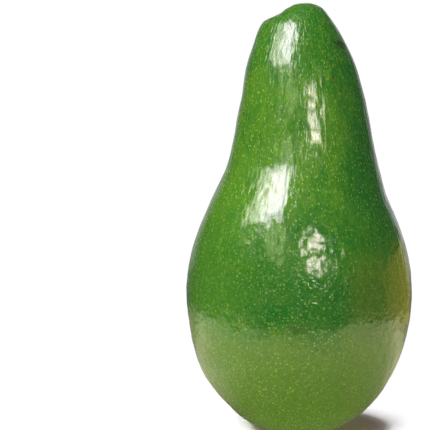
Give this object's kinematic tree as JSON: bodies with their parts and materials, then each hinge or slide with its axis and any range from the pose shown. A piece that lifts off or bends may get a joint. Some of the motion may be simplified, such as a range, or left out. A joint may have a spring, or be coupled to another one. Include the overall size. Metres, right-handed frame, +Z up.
{
  "type": "avocado",
  "caption": "Whole ripe pear-shaped avocado with glossy green speckled skin, standing upright on its blossom end.",
  "frame": {"origin": "middle of the small flat at the blossom end that the fruit rests on, below the middle of the belly", "axes": "+Z up from the blossom end towards the stem end, -Y towards the front of the fruit, +X to its right as seen from the front"},
  "size_m": [0.0736, 0.0711, 0.1389],
  "materials": {
    "skin": "waxy gloss green peel with pale dots, brown and corky at the stem scar"
  },
  "bodies": {
    "root": {"avocado_fruit": "skin"}
  },
  "joints": []
}
